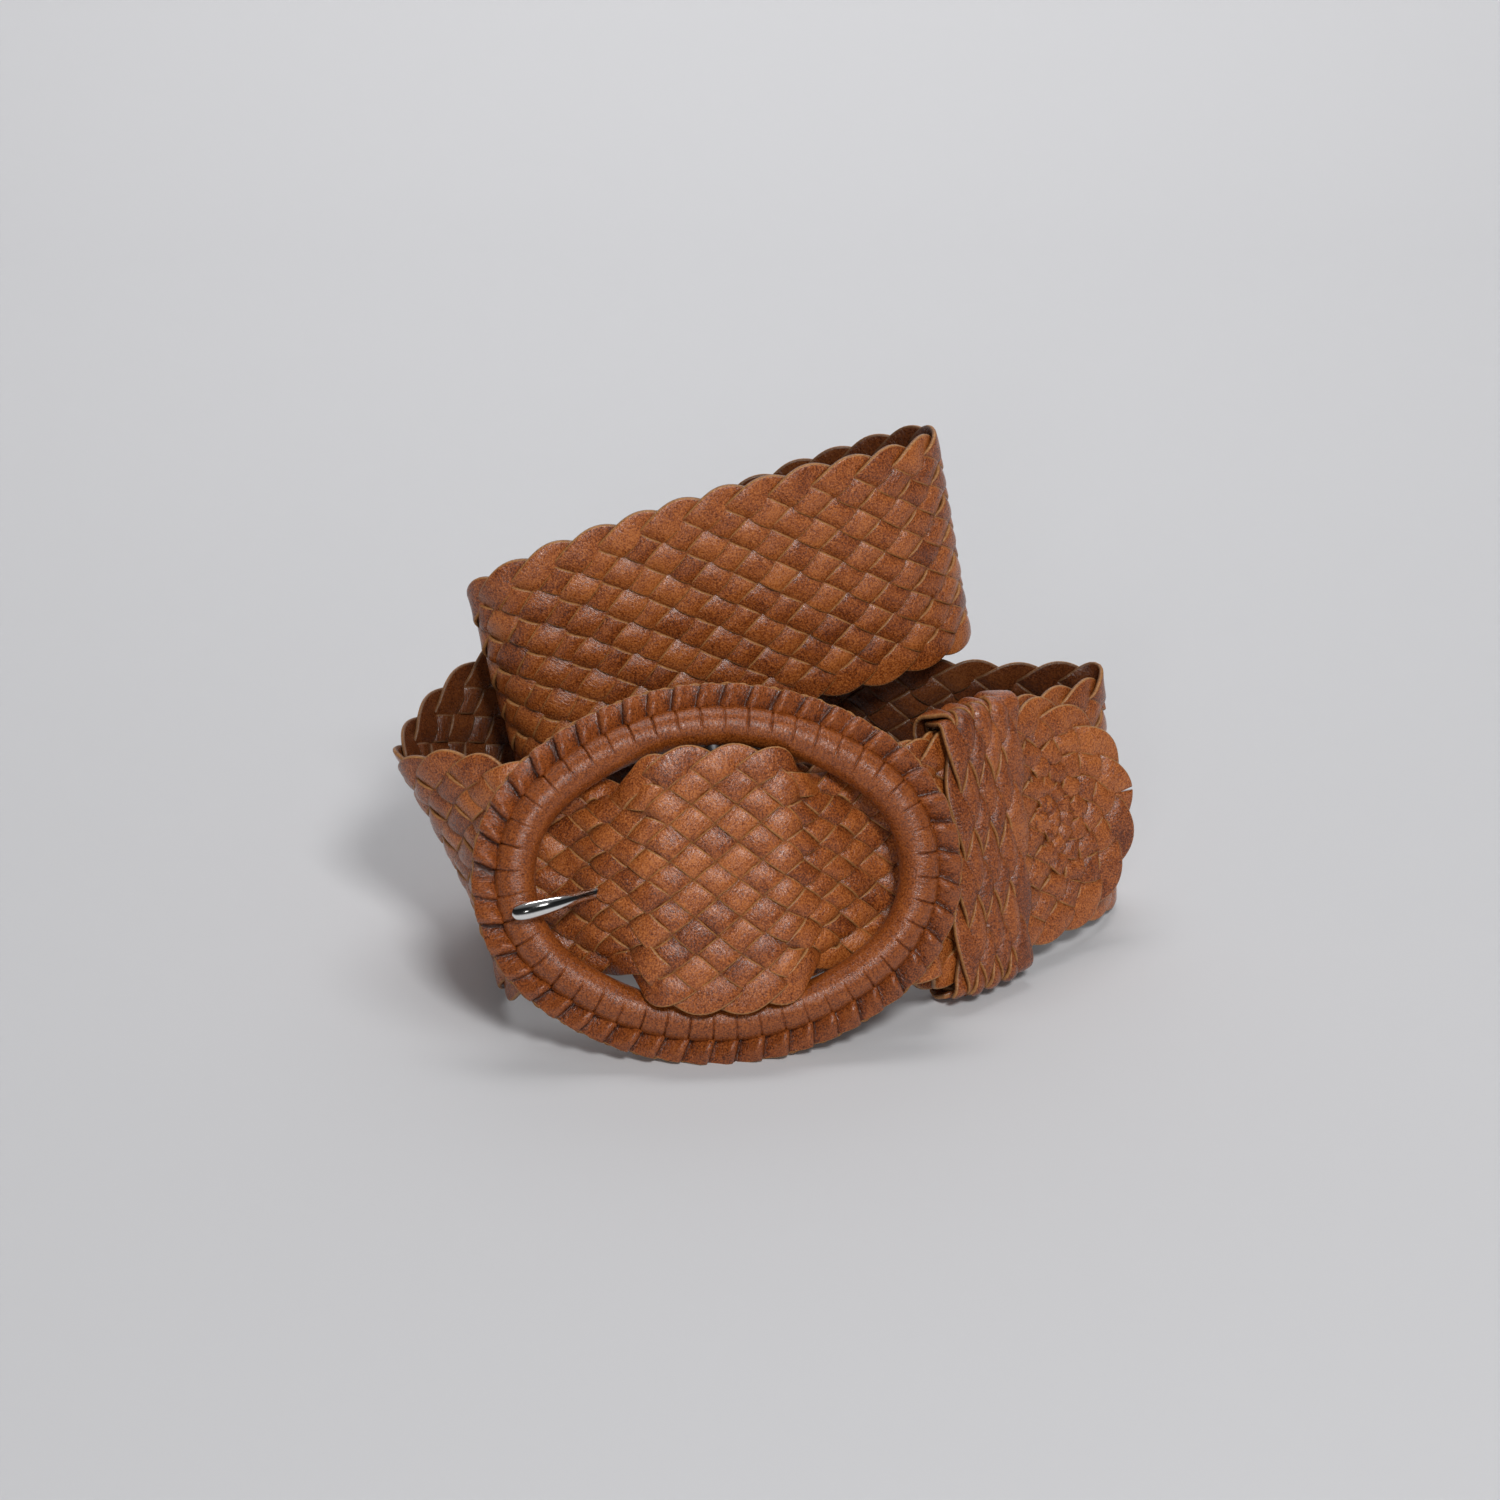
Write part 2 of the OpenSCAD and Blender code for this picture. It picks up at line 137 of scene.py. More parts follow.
# rows of the strap, lower and upper edge, from the turned-back end to the tip
ROUTE = [
    brow(50, -27, 27, -18.3),
    brow(43, -27, 27, -17.6),
    brow(36, -27, 27, -16.9),
    brow(28.5, -27, 27, -16),
    brow(24.5, -27, 27, -12.6),
    brow(20, -27, 27, -9),
    brow(12, -27, 27, -5.8),
    brow(5, -27, 27, -4),
    brow(0, -27, 27, -3.5),
    brow(-3.4, -27, 27, 0),
    brow(0, -27, 27, 3.4),
    brow(6, -27.2, 27.2, 2.2),
    brow(13, -27.2, 27.2, -0.8),
    brow(22, -27.2, 27.2, -5.2, 0.5),
    brow(25.5, -27, 27, -9, 0.7, 1.6),
    brow(30, -28, 28, -12.1, 1.5, 4),
    brow(35, -29, 29, -12.7, 2.5, 3),
    brow(41, -30, 30, -13.3, 5, 1.2),
    brow(49, -31, 31, -14.4, 7),
    krow(-21, 0, skew=8),
    krow(-7, 0),
    krow(7, 0),
    krow(21, 0),
    row([99, 71, 2], [88, 84, 65]),
    row([103, 82, 0.8], [96, 91, 64]),
    row([99, 92, 0.3], [97, 97, 65]),
    row([88, 98, 0.3], [87, 98, 64.8]),
    row([72, 100, 0.5], [72, 98, 64.8]),
    row([46, 100, 3], [46, 98, 66.8]),
    row([15, 99, 6], [15, 99, 70]),
    row([-15, 98, 12], [-16, 98, 76]),
    row([-38, 95, 18], [-41, 97, 82]),
    row([-44, 90, 22], [-56, 94, 86]),
    row([-48, 82, 27], [-64, 88, 90]),
    row([-42, 74, 35], [-56, 80, 99]),
    row([-28, 72, 45], [-37, 79, 108]),
    row([-6, 74, 53], [-14, 80, 116]),
    row([21, 78, 60], [12, 82, 123]),
    row([44, 84, 64], [35, 86, 127]),
    row([58, 92, 66.5], [46.5, 92, 128]),
    row([64, 102, 67.5], [53, 101, 128.2]),
    row([58, 114, 63], [49, 112, 125]),
    row([40, 120, 55], [33, 118, 118]),
    row([12, 121, 44], [5, 119, 107]),
    row([-11, 117, 31], [-21, 116, 94]),
    row([-29, 110, 19], [-43, 110, 81]),
    row([-44, 99, 10], [-60, 99, 70]),
    row([-52, 87, 5], [-72, 89, 64]),
    row([-54, 74, 2], [-80, 76, 59]),
    row([-52, 59, 1.3], [-83, 63, 56]),
    row([-54, 46, 1.6], [-79, 54, 58]),
    row([-54, 33, 3], [-70, 47, 63]),
    row([-53, 22, 5], [-61, 42, 65]),
    brow(-47, -31, 30, -11, 4),
    brow(-41, -30, 30, -9.6, 2, 0.8),
    brow(-35, -28.6, 28.6, -8.7, 1, 2.6),
    brow(-29, -25.6, 25.6, -7.9, 0, 7.8),
    brow(-24, -25, 23.8, -2.6, 0, 5.6),
    brow(-19.5, -28, 26.9, 3.5, 0, 2.2),
    brow(-14, -33.2, 31.6, 7.1, 0, 0.4),
    brow(0, -35, 32.4, 7.6),
    brow(14, -33.2, 31.3, 7.1, 0, 0.2),
    brow(19.5, -28.2, 27.2, 3.2, 0, 2),
    brow(24, -25.2, 24.4, -2.6, 0, 4.8),
    brow(29, -26.4, 26.4, -7.3, 0, 6.4),
    brow(34, -28, 28, -8.3, 1, 4),
    brow(39, -29, 29, -8.6, 2.5, 1.4),
    brow(46, -30, 30, -9.2, 5),
    brow(54, -31, 31, -10, 7.5),
    krow(-21, LAYER, skew=8),
    krow(-7, LAYER),
    krow(7, LAYER),
    krow(21, LAYER),
    krow(32, LAYER + 1.5, 0.5, 63.5),
    krow(43, LAYER + 4, 1, 63),
    krow(54, LAYER + 7, 1.5, 62.5),
]


def knot(a, b, c, d, t):
    """The point a share t of the way from b to c on a smooth curve through all four."""
    return 0.5 * (2 * b + (c - a) * t + (2 * a - 5 * b + 4 * c - d) * t**2 + (3 * b - a - 3 * c + d) * t**3)


def through(points, steps):
    """Smooth curve through the points, from the second to the last but one."""
    out = [
        knot(*points[i - 1 : i + 3], k / steps)
        for i in range(1, len(points) - 2)
        for k in range(steps)
    ]
    return np.array(out + [points[-2]])


def spread(s, run, points):
    """Where a line of points, placed at run, lies at s."""
    return np.stack([np.interp(s, run, points[:, i]) for i in range(3)], 1)


BOW_WAY = in_buckle(0, 0, 1) - in_buckle(0, 0, 0)


class Band:
    """The middle surface of a braid: s runs along it, v across it, n out of it, all in millimetres.

    Where bow is given the middle stands out past the edges by it, and s is measured near its crest."""

    def __init__(self, lo, hi, bow=None, step=0.5):
        mid = (lo + hi) / 2
        bow = np.zeros(len(mid)) if bow is None else bow
        crest = mid + BOW_WAY * (0.7 * bow)[:, None]
        run = np.concatenate([[0], np.cumsum(np.linalg.norm(np.diff(crest, axis=0), axis=1))])
        self.length = run[-1]
        self.s = np.linspace(0, self.length, int(self.length / step))
        self.bow = np.interp(self.s, run, bow)
        mid, lo, hi = (spread(self.s, run, p) for p in (mid, lo, hi))
        across = hi - lo
        self.half = np.linalg.norm(across, axis=1) / 2
        self.mid = mid
        self.across = across / np.linalg.norm(across, axis=1)[:, None]

    def skin(self, s, v):
        """Points of the surface itself."""
        m, a = (spread(s, self.s, p) for p in (self.mid, self.across))
        share = np.clip(v / self.half_at(s), -1, 1)
        stand = np.interp(s, self.s, self.bow) * (1 - np.abs(share) ** 3)
        return m + a * v[:, None] + BOW_WAY * stand[:, None]

    def at(self, s, v, n):
        """Points at height n over the skin, and the way out of the skin there."""
        along = self.skin(s + 1.2, v) - self.skin(s - 1.2, v)
        across = self.skin(s, v + 0.4) - self.skin(s, v - 0.4)
        out = np.cross(along, across)
        out /= np.linalg.norm(out, axis=1)[:, None]
        return self.skin(s, v) + out * n[:, None], out

    def half_at(self, s):
        return np.interp(s, self.s, self.half)


def strap_band():
    lo, hi, bow = (through([r[k] for r in ROUTE], 14) for k in range(3))
    return Band(lo, hi, bow[:, 0])


# ---------------------------------------------------------------- meshes
def mesh_object(name, verts, faces, values=None, smooth=True):
    """A mesh in metres, in the row frame; values holds one number or vector for each vertex."""
    me = bpy.data.meshes.new(name)
    me.from_pydata(((np.asarray(verts) + MID) * MM).tolist(), [], faces)
    for key, data in (values or {}).items():
        data = np.asarray(data, float)
        if data.ndim == 1:
            me.attributes.new(key, "FLOAT", "POINT").data.foreach_set("value", data)
        else:
            me.attributes.new(key, "FLOAT_VECTOR", "POINT").data.foreach_set("vector", data.ravel())
    me.polygons.foreach_set("use_smooth", [smooth] * len(me.polygons))
    me.update()
    ob = bpy.data.objects.new(name, me)
    bpy.context.scene.collection.objects.link(ob)
    return ob


def grid_faces(rows, cols, close_rows=False, close_cols=False, first=0):
    """Quads over a grid of rows x cols vertices."""
    out = []
    for i in range(rows if close_rows else rows - 1):
        j = (i + 1) % rows
        for k in range(cols if close_cols else cols - 1):
            m = (k + 1) % cols
            corners = (i * cols + k, i * cols + m, j * cols + m, j * cols + k)
            out.append(tuple(first + c for c in corners))
    return out


# section of a lace: place across (share of width), height (share of thickness), crown share and
# raw-edge share
SECTION = [
    (-0.5, -0.42, 0, 1), (-0.5, 0.16, 0, 1), (-0.48, 0.4, 0.06, 0.95), (-0.43, 0.5, 0.3, 0.12),
    (-0.2, 0.5, 0.85, 0), (0.0, 0.5, 1.0, 0), (0.2, 0.5, 0.85, 0),
    (0.43, 0.5, 0.3, 0.12), (0.48, 0.4, 0.06, 0.95), (0.5, 0.16, 0, 1),
    (0.5, -0.42, 0, 1), (0.43, -0.5, -0.1, 0.4), (0.2, -0.5, -0.4, 0), (-0.2, -0.5, -0.4, 0),
    (-0.43, -0.5, -0.1, 0.4),
]


def lace_mesh(centre, out, width, crown, tone, number, lift, deep):
    """Vertices, faces and values of one flat lace laid along centre, facing out.

    lift(x) gives the height of the points that lie x across from the centre line; deep says where a lace
    that dives under another gets painted shade."""
    count = len(centre)
    run = np.gradient(centre, axis=0)
    run /= np.linalg.norm(run, axis=1)[:, None]
    flat = run - out * np.sum(run * out, axis=1)[:, None]
    side = np.cross(out, flat)
    side /= np.linalg.norm(side, axis=1)[:, None]
    up = np.cross(run, side)
    up /= np.linalg.norm(up, axis=1)[:, None]
    gone = np.concatenate([[0], np.cumsum(np.linalg.norm(np.diff(centre, axis=0), axis=1))])
    verts, cut, lay, under = [], [], [], []
    for x, y, c, e in SECTION:
        high = lift(x * width)
        # painted shade: a lace grows darker where it dives under its neighbour; its underside is marked for
        # the dark flesh side, which is partly painted shade
        painted_dive_shade = DIVE_SHADE * deep * smoothstep(-high, -0.55 * LIFT, 0.25 * LIFT)
        verts.append(centre + side * (x * width)[:, None] + up * (y * LACE_T + c * crown + high)[:, None])
        cut.append(np.full(count, float(e)))
        under.append(np.full(count, 1.0) if y < 0 else painted_dive_shade)
        lay.append(np.stack([gone, x * width, np.full(count, number * 37.0)], 1))
    verts = np.stack(verts, 1).reshape(-1, 3)
    cut = np.stack(cut, 1).ravel()
    under = np.stack(under, 1).ravel()
    lay = np.stack(lay, 1).reshape(-1, 3)
    per = len(SECTION)
    faces = grid_faces(count, per, close_cols=True)
    faces += [tuple(range(per))[::-1], tuple((count - 1) * per + i for i in range(per))]
    return verts, faces, {"cut": cut, "lay": lay, "tone": np.repeat(tone, per), "under": under}


def slow_noise(rng, x, wave, size):
    """A smooth wander along x."""
    return size * sum(
        np.sin(x / (wave * f) * 6.28 + rng.uniform(0, 6.28)) / f
        for f in (0.37, 1.0, 2.3)
    ) / 2


def weave(s, number, laces, period):
    """Where lace number lies at s.

    Gives its place across from -1 to 1, +1 going up or -1 going down, and its count of crossings."""
    a = (s / period + number / laces) % 1.0
    down = a < 0.5
    m = np.where(down, 2 * laces * a, 2 * laces * (1 - a))
    near_top = np.sqrt(m**2 + TURN**2)
    near_low = np.sqrt((laces - m) ** 2 + TURN**2)
    v = np.where(m < laces / 2, 1 - 2 * near_top / laces, -1 + 2 * near_low / laces)
    return v, np.where(down, -1.0, 1.0), m


def over_under(m, way, laces):
    """Height share of a lace at crossing count m: +1 over, -1 under, 0 at the turn of the edge."""
    wave = np.tanh(FLAT * -np.cos(math.pi * m)) / math.tanh(FLAT)
    ends = np.where(m < laces / 2, m, laces - m)
    rise = np.where(ends < 1, np.sin(math.pi / 2 * np.clip(ends, -1, 1)), wave)
    return way * rise


def from_edge(m, laces):
    """1 across the strap, falling to 0 where a lace turns at the edge."""
    return smoothstep(np.minimum(m, laces - m), 0.35, 1.0)


def skewed_lift(m, way, laces, half, period, heading, height):
    """Height across a lace: its dips run parallel to the laces that it crosses."""
    along, across = heading
    tilt = laces * (-along / (4 * half) + np.abs(across) / period)
    fade = smoothstep(np.minimum(m, laces - m), 0.35, 1.3)

    def lift(x):
        return height * over_under(m + tilt * x * fade, way, laces)

    return lift


def smoothstep(x, a, b):
    """0 below a, 1 above b, and a smooth climb between."""
    t = np.clip((x - a) / (b - a), 0, 1)
    return t * t * (3 - 2 * t)


def heading_of(s, v):
    """Which way a line at s and v runs, as its shares along and across the strap."""
    ds, dv = np.gradient(s), np.gradient(v)
    run = np.hypot(ds, dv)
    return ds / run, dv / run


def strap_lace(band, number, period):
    """One lace of the strap, from the turned-back end to the rounded tip."""
    rng = random.Random(100 + number)
    focus = band.length - TIP_ROUND
    fan = FAN_TURNS * SCALLOP + (-2 * focus) % SCALLOP
    s = np.linspace(0, focus + fan, int((focus + fan) / 0.8))
    t, way, m = weave(s, number, LACES, period)
    half_at_focus = band.half_at(focus) - EDGE_IN
    # past the focus the lace goes on round the tip until it turns at the edge or reaches the focus
    past = s > focus
    start = int(np.argmax(past))
    side = 1.0 if t[start] > 0 else -1.0
    outward = way[start] * side > 0
    turned = int(np.argmax(past & (way != way[start]))) if outward else 0
    if outward and s[turned] - focus + period / 4 > fan:
        gone = past & (way != way[start])
    else:
        gone = past & (t * side < -0.13) & ((way * side < 0) | (s > focus + period / 4))
    last = int(np.argmax(gone)) if gone.any() else len(s)
    s, t, way, m, past = s[:last], t[:last], way[:last], m[:last], past[:last]
    half = np.where(past, half_at_focus, band.half_at(np.minimum(s, focus)) - EDGE_IN)
    angle = math.pi * np.clip(s - focus, 0, fan) / fan
    radius = t * side * half
    squeeze = np.where(past, math.pi * np.maximum(np.abs(radius), 3.5) / fan, 1.0)
    width = np.where(past, squeeze / np.sqrt(0.72 * squeeze**2 + 0.28), 1.0)
    base_s = np.where(past, focus + radius * np.sin(angle) * TIP_ROUND / half_at_focus, s)
    base_v = np.where(past, side * radius * np.cos(angle), t * half)
    base_v = base_v + slow_noise(rng, s, 60, 0.12) * np.where(past, 0.3, 1)
    centre, out = band.at(base_s, base_v, np.zeros(len(s)))
    gathered = np.clip(half / 30, 0.84, 1.02)
    width = (LACE_W + slow_noise(rng, s, 90, 0.1)) * np.clip(width, 0.3, 1.12) * gathered
    crown = CROWN + slow_noise(rng, s, 25, 0.03)
    tone = 0.5 + rng.uniform(-0.3, 0.3) + slow_noise(rng, s, 120, 0.12) + slow_noise(rng, s, 17, 0.06)
    lift = skewed_lift(m, way, LACES, half, period, heading_of(s, t * half), LIFT)
    return lace_mesh(centre, out, width, crown, tone, number, lift, from_edge(m, LACES))


def build_strap():
    band = strap_band()
    period = LACES * SCALLOP
    for k in range(LACES):
        verts, faces, values = strap_lace(band, k, period)
        ob = mesh_object(f"lace_{k + 1:02d}", verts, faces, values)
        ob.data.materials.append(leather("laces", "braid"))
        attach(ob, "belt")
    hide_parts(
        "strap_lower_run", "strap_upper_coil", "strap_front_run", "strap_tip_run", "strap_fold"
    )


# ---------------------------------------------------------------- the oval ring
SIDE_R = (RING_A**2 + RING_B**2 - 2 * RING_A * RING_END_R) / (2 * (RING_B - RING_END_R))
END_ANG = math.atan2(SIDE_R - RING_B, RING_A - RING_END_R)
END_LEN = 2 * END_ANG * RING_END_R
SIDE_LEN = (math.pi - 2 * END_ANG) * SIDE_R
ROUND_LEN = 2 * (END_LEN + SIDE_LEN)


def oval(share):
    """Point of the ring's centre line and its outward direction, for a share of the way round."""
    q = (share % 1.0) * ROUND_LEN
    if q < END_LEN:
        c, r, a = (RING_A - RING_END_R, 0), RING_END_R, -END_ANG + q / RING_END_R
    elif q < END_LEN + SIDE_LEN:
        c, r, a = (0, RING_B - SIDE_R), SIDE_R, END_ANG + (q - END_LEN) / SIDE_R
    elif q < 2 * END_LEN + SIDE_LEN:
        c, r = (RING_END_R - RING_A, 0), RING_END_R
        a = math.pi - END_ANG + (q - END_LEN - SIDE_LEN) / RING_END_R
    else:
        c, r = (0, SIDE_R - RING_B), SIDE_R
        a = math.pi + END_ANG + (q - 2 * END_LEN - SIDE_LEN) / SIDE_R
    d = np.array([math.cos(a), math.sin(a)])
    return np.array(c) + d * r, d


def pleat_places(places):
    """Shares of the way round, with the given places repeated in every pleat."""
    return [(i + f) / PLEATS for i in range(PLEATS) for f in places]


def build_ring_cover():
    """The leather round the ring's tube, slit across its outer side and part of its front."""
    places = [0, 0.03, 0.07, 0.12, 0.2, 0.32, 0.45, 0.58, 0.7, 0.8, 0.88, 0.93, 0.97]
    shares = np.array(pleat_places(places))
    turns = np.radians(np.linspace(-180, 180, 45)[:-1])
    rng = random.Random(5)
    verts, cut, lay, tone = [], [], [], []
    # how deep each slit is, and how much further than the usual it runs round the tube, in degrees
    depth = np.array([rng.uniform(0.6, 1.2) for _ in range(PLEATS)])
    reach = np.array([rng.uniform(-14, 12) for _ in range(PLEATS)])
    for s in shares:
        f = (s * PLEATS) % 1.0
        i = int(round(s * PLEATS)) % PLEATS
        pitch = ROUND_LEN / PLEATS
        d = min(f, 1 - f) * pitch
        p, o = oval(s)
        for a in turns:
            deg = math.degrees(a)
            open_share = float(smoothstep(-abs(deg - 10), -(112 + reach[i]), -66))
            groove = math.exp(-((d / 0.19) ** 2)) * open_share * depth[i]
            r = TUBE_R - 0.5 * groove + 0.26 * (f - 0.5) * open_share
            q = p + o * r * math.cos(a)
            verts.append(in_buckle(q[0], q[1], r * math.sin(a)))
            cut.append(0.75 * math.exp(-(((f * pitch - 0.3) / 0.12) ** 2)) * open_share * depth[i])
            lay.append((s * ROUND_LEN, a * TUBE_R, 900.0))
            # painted shade: the tone is darker down in each slit's groove
            tone.append(0.5 - 0.7 * groove)
    faces = grid_faces(len(shares), len(turns), True, True)
    ob = mesh_object("ring_cover_skin", verts, faces, {"cut": cut, "lay": lay, "tone": tone})
    ob.data.materials.append(leather("wrap", "wrap"))
    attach(ob, "buckle")
    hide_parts("ring_cover")


def build_frill():
    """The pleated leather edge, as one strip of overlapping tabs."""
    places = np.linspace(0, 1, 21)[:-1]
    shares = np.array(pleat_places(places))
    rng = random.Random(8)
    radial = [4.3, 4.9, 5.5, 6.3, 7.2, 8.1, 8.9, 9.6, 10.1, 10.35]
    # how tall each pleat is, and how far it is shifted in its own width
    size = [rng.uniform(0.8, 1.15) for _ in range(PLEATS)]
    jog = [rng.uniform(-0.08, 0.08) for _ in range(PLEATS)]
    verts, cut, lay, tone = [], [], [], []
    for s in shares:
        p, o = oval(s)
        for k, r in enumerate(radial):
            share_out = (r - radial[0]) / (radial[-1] - radial[0])
            g = s * PLEATS + 0.3 * (share_out - 0.5)
            i = int(math.floor(g)) % PLEATS
            f = (g - math.floor(g) + jog[i]) % 1.0
            rise = 0.15 + 0.85 * float(smoothstep(f, -0.1, 0.72))
            rise *= float(smoothstep(f, 0.0, 0.05)) * (1 - float(smoothstep(f, 0.93, 1.0)))
            ridge = 0.3 * math.exp(-(((f - 0.74) / 0.16) ** 2))
            amp = size[i] * (1.1 + 1.8 * math.sin(math.pi * min(share_out * 0.8 + 0.2, 1)))
            h = -0.8 + amp * (rise + ridge)
            wide = r + (0.5 * (rise - 0.5) + 0.25 * (size[i] - 1)) * share_out
            q = p + o * wide
            verts.append(in_buckle(q[0], q[1], h))
            cut.append(1.0 if k == len(radial) - 1 else 0.0)
            lay.append((s * ROUND_LEN, r, 950.0 + i))
            # painted shade: the tone is darker where a tab dips into its crease; taller pleats are a little
            # lighter
            tone.append(0.55 - 1.5 * (1 - rise) ** 3 + 0.3 * (size[i] - 1))
        for k, r in enumerate(radial[::-1]):
            q = p + o * r
            verts.append(in_buckle(q[0], q[1], -1.0))
            cut.append(1.0 if k == 0 else 0.3)
            lay.append((s * ROUND_LEN, r, 990.0))
            tone.append(0.4)
    faces = grid_faces(len(shares), 2 * len(radial), True, True)
    ob = mesh_object("frill_pleats", verts, faces, {"cut": cut, "lay": lay, "tone": tone})
    ob.data.materials.append(leather("frill", "frill"))
    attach(ob, "buckle")
    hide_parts("ring_frill")


def build_leaf():
    """The flat back leaf with its raw edge."""
    shares = np.linspace(0, 1, 721)[:-1]
    rng = random.Random(9)
    # place out from the centre line, height, raw-edge share
    ring = [
        (4.95, -2.3, 0), (4.95, -1.1, 0), (9.9, -1.05, 0.1), (10.5, -1.15, 1),
        (10.55, -2.2, 1), (10.2, -2.35, 0.8), (7.5, -2.4, 0.2),
    ]
    verts, cut, lay, tone = [], [], [], []
    wave = slow_noise(rng, shares * ROUND_LEN, 9, 0.16)
    for s, w in zip(shares, wave):
        p, o = oval(s)
        for r, h, e in ring:
            q = p + o * (r + (w if r > 9 else 0))
            verts.append(in_buckle(q[0], q[1], h))
            cut.append(e)
            lay.append((s * ROUND_LEN, r, 800.0))
            tone.append(0.45)
    faces = grid_faces(len(shares), len(ring), True, True)
    ob = mesh_object("back_leaf", verts, faces, {"cut": cut, "lay": lay, "tone": tone})
    ob.data.materials.append(leather("leaf", "leaf"))
    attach(ob, "buckle")
    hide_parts("ring_flange")


# ---------------------------------------------------------------- prong
def build_prong():
    """The prong and its eye round the bar."""
    # place along, height, half width, half thickness
    stations = [
        (-2.4, 1.4, 1.2, 1.1), (-8, 1.4, 1.3, 1.0), (-16, 1.4, 1.35, 0.95), (-22, 0.9, 1.35, 0.95),
        (-27, -0.2, 1.4, 1.0), (-31, 0.4, 1.4, 1.05), (-34.5, 2.9, 1.45, 1.15), (-38.5, 5.8, 1.65, 1.25),
        (-42.5, 7.2, 1.95, 1.45), (-46.5, 7.6, 2.15, 1.5), (-49, 7.5, 2.1, 1.45), (-50.8, 7.2, 1.6, 1.15),
        (-51.5, 7.0, 0.7, 0.6),
    ]
    path = through(np.array([stations[0]] + stations + [stations[-1]]), 5)
    ring = np.linspace(0, 2 * math.pi, 21)[:-1]
    cs, sn = math.cos(PRONG_SLANT), math.sin(PRONG_SLANT)
    verts = []
    slope = np.gradient(path[:, :2], axis=0)
    slope /= np.linalg.norm(slope, axis=1)[:, None]
    for (x, h, w, t), (dx, dh) in zip(path, slope):
        for a in ring:
            y = w * math.cos(a)
            z = t * math.sin(a) * (0.85 if math.sin(a) < 0 else 1.0)
            px, ph = x + dh * z, h - dx * z
            verts.append(in_buckle(px * cs - y * sn, PRONG_V + px * sn + y * cs, ph))
    faces = grid_faces(len(path), len(ring), close_cols=True)
    last = (len(path) - 1) * len(ring)
    faces += [tuple(range(len(ring)))[::-1], tuple(last + i for i in range(len(ring)))]
    # the eye round the bar
    base = len(verts)
    big, small = 48, 16
    for i in range(big):
        a = 2 * math.pi * i / big
        for j in range(small):
            b = 2 * math.pi * j / small
            r = EYE_R + EYE_WALL * math.cos(b)
            verts.append(in_buckle(r * math.cos(a), PRONG_V + EYE_LONG * math.sin(b), r * math.sin(a)))
    faces += grid_faces(big, small, True, True, base)
    ob = mesh_object("prong_metal", verts, faces)
    ob.data.materials.append(chrome())
    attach(ob, "tongue")
    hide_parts("prong")


# ---------------------------------------------------------------- keeper
def build_keeper():
    """A braided loop round both straps."""
    low, top = -KEEPER_GAP - KEEPER_T, STRAP_W + KEEPER_GAP + KEEPER_T
    back, front = -STRAP_T / 2 - KEEPER_GAP - KEEPER_T, LAYER + STRAP_T / 2 + KEEPER_GAP + KEEPER_T
    corner = KEEPER_CORNER
    loop = []
    spots = [((low + corner, front - corner), 180, 90), ((top - corner, front - corner), 90, 0),
             ((top - corner, back + corner), 0, -90), ((low + corner, back + corner), -90, -180)]
    for (y, z), a0, a1 in spots:
        for t in np.linspace(0, 1, 7):
            a = math.radians(a0 + (a1 - a0) * t)
            loop.append((y + corner * math.cos(a), z + corner * math.sin(a)))
    loop = np.array(loop + [loop[0]])
    run = np.concatenate([[0], np.cumsum(np.linalg.norm(np.diff(loop, axis=0), axis=1))])
    full = run[-1]
    s = np.linspace(-4, full + 4, int(full / 0.3))
    y, z = (np.interp(s % full, run, loop[:, i]) for i in range(2))
    # the front side bulges a little, the back side less
    in_front = z > (front + back) / 2
    swell = np.sin(math.pi * np.clip((y - low) / (top - low), 0, 1))
    bulge = KEEPER_BULGE * swell * np.where(in_front, 1, 0.4)
    z = z + np.where(in_front, bulge, -bulge)
    middle = KEEPER_SLANT * (y / STRAP_W - 0.5) - KEEPER_BACK
    lo = in_keeper(middle + KEEPER_W / 2, y, z)
    hi = in_keeper(middle - KEEPER_W / 2, y, z)
    band = Band(lo, hi, step=0.3)
    band_start = 4.0
    period = full / KEEPER_TURNS * KEEPER_LACES
    verts, faces, values = [], [], {"cut": [], "lay": [], "tone": [], "under": []}
    for k in range(KEEPER_LACES):
        rng = random.Random(300 + k)
        q = np.linspace(0, full, int(full / 0.7))
        v, way, m = weave(q, k, KEEPER_LACES, period)
        half = KEEPER_W / 2 - EDGE_IN
        v = v * half
        centre, out = band.at(q + band_start, v, np.zeros(len(q)))
        lift = skewed_lift(m, way, KEEPER_LACES, half, period, heading_of(q, v), KEEPER_LIFT)
        tone = 0.5 + rng.uniform(-0.25, 0.25) + slow_noise(rng, q, 60, 0.1)
        plain = np.ones(len(q))
        deep = from_edge(m, KEEPER_LACES)
        width, crown = KEEPER_LACE_W * plain, KEEPER_CROWN * plain
        lace, lace_faces, lace_values = lace_mesh(centre, out, width, crown, tone, 60 + k, lift, deep)
        first = sum(len(x) for x in verts)
        verts.append(lace)
        faces += [tuple(first + i for i in face) for face in lace_faces]
        for key in values:
            values[key].append(lace_values[key])
    values = {key: np.concatenate(parts) for key, parts in values.items()}
    ob = mesh_object("keeper_braid", np.concatenate(verts), faces, values)
    ob.data.materials.append(leather("keeper", "keeper"))
    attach(ob, "keeper")
    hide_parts("keeper_band", "keeper_lap", "keeper_stitching")


# ---------------------------------------------------------------- materials
def srgb(r, g, b):
    """Linear colour from 0-255 screen values."""
    linear = (((c / 255 + 0.055) / 1.055) ** 2.4 if c > 10 else c / 255 / 12.92 for c in (r, g, b))
    return tuple(linear) + (1.0,)


